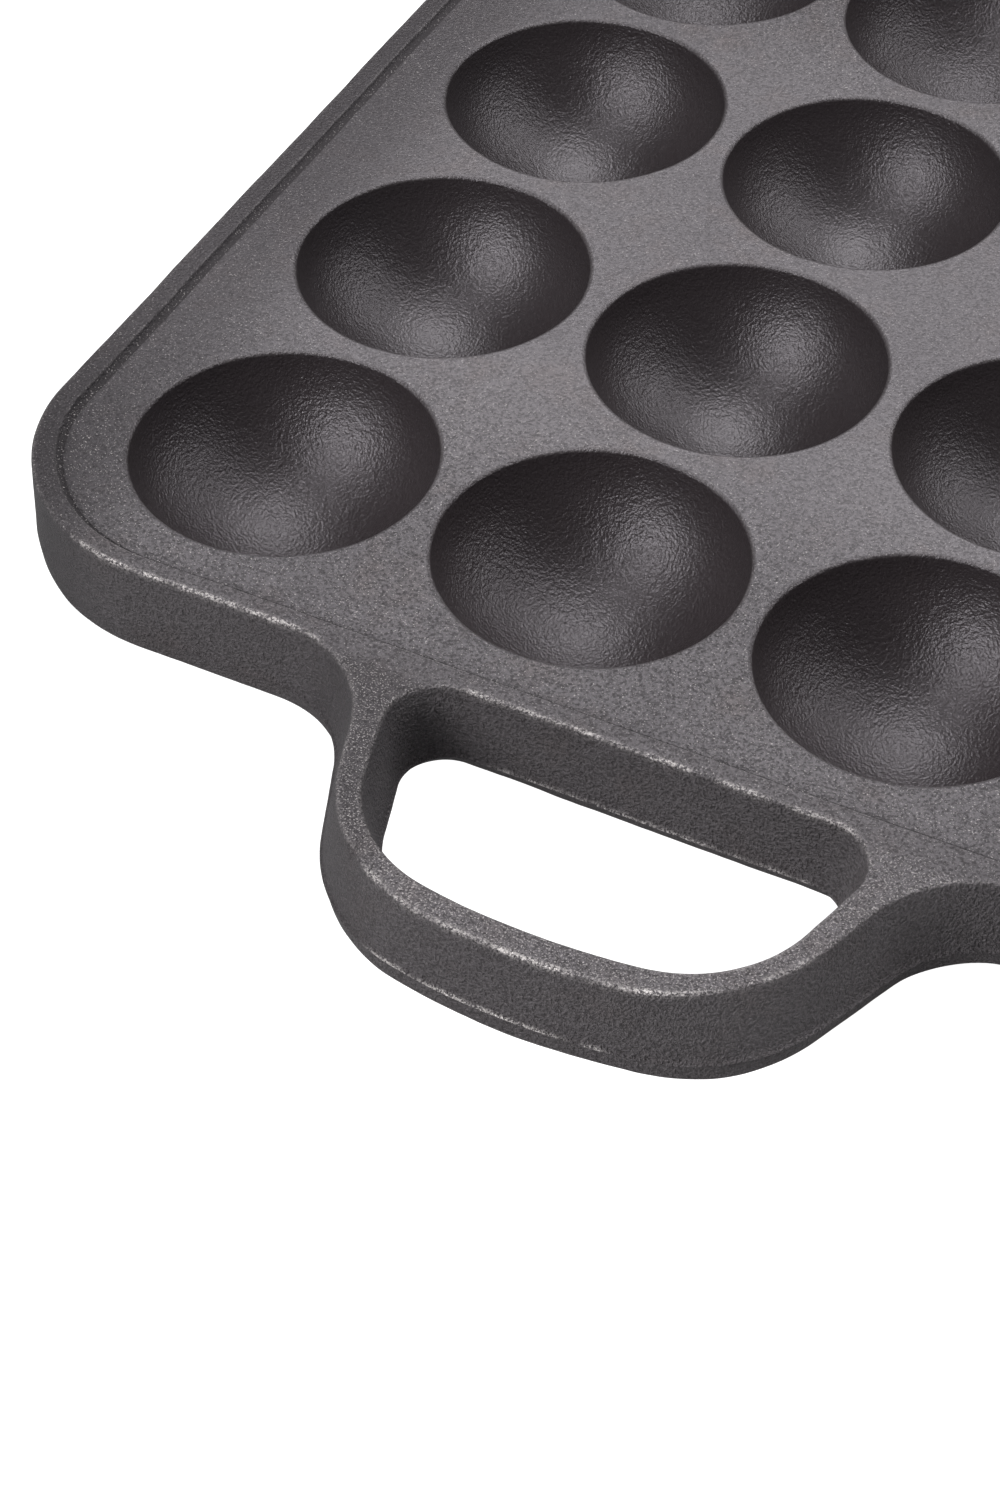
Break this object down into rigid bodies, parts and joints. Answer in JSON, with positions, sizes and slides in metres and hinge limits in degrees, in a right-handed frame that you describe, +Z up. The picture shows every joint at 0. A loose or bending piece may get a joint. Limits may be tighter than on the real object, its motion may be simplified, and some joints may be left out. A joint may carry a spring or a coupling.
{
  "type": "takoyaki pan",
  "caption": "Cast-iron pan with hemispherical wells for cooking batter balls on a stove, a raised rim and a loop handle on each end.",
  "frame": {"origin": "below the middle of the deck, on the plane that the flats under the wells stand on", "axes": "+Z up out of the wells, -Y towards the front handle, +X to the right of it"},
  "size_m": [0.2054, 0.2768, 0.025],
  "materials": {
    "seasoned_iron": "fine sand-cast, seasoned, satin in the wells",
    "raw_iron": "sand-cast, rough, edges worn bright"
  },
  "bodies": {
    "root": {"well_r1_c1": "seasoned_iron", "well_r1_c2": "seasoned_iron", "well_r1_c3": "seasoned_iron", "well_r1_c4": "seasoned_iron", "well_r2_c1": "seasoned_iron", "well_r2_c2": "seasoned_iron", "well_r2_c3": "seasoned_iron", "well_r2_c4": "seasoned_iron", "well_r3_c1": "seasoned_iron", "well_r3_c2": "seasoned_iron", "well_r3_c3": "seasoned_iron", "well_r3_c4": "seasoned_iron", "well_r4_c1": "seasoned_iron", "well_r4_c2": "seasoned_iron", "well_r4_c3": "seasoned_iron", "well_r4_c4": "seasoned_iron", "rim_front": "raw_iron", "rim_rear": "raw_iron", "rim_left": "raw_iron", "rim_right": "raw_iron", "front_handle": "raw_iron", "rear_handle": "raw_iron"}
  },
  "joints": []
}
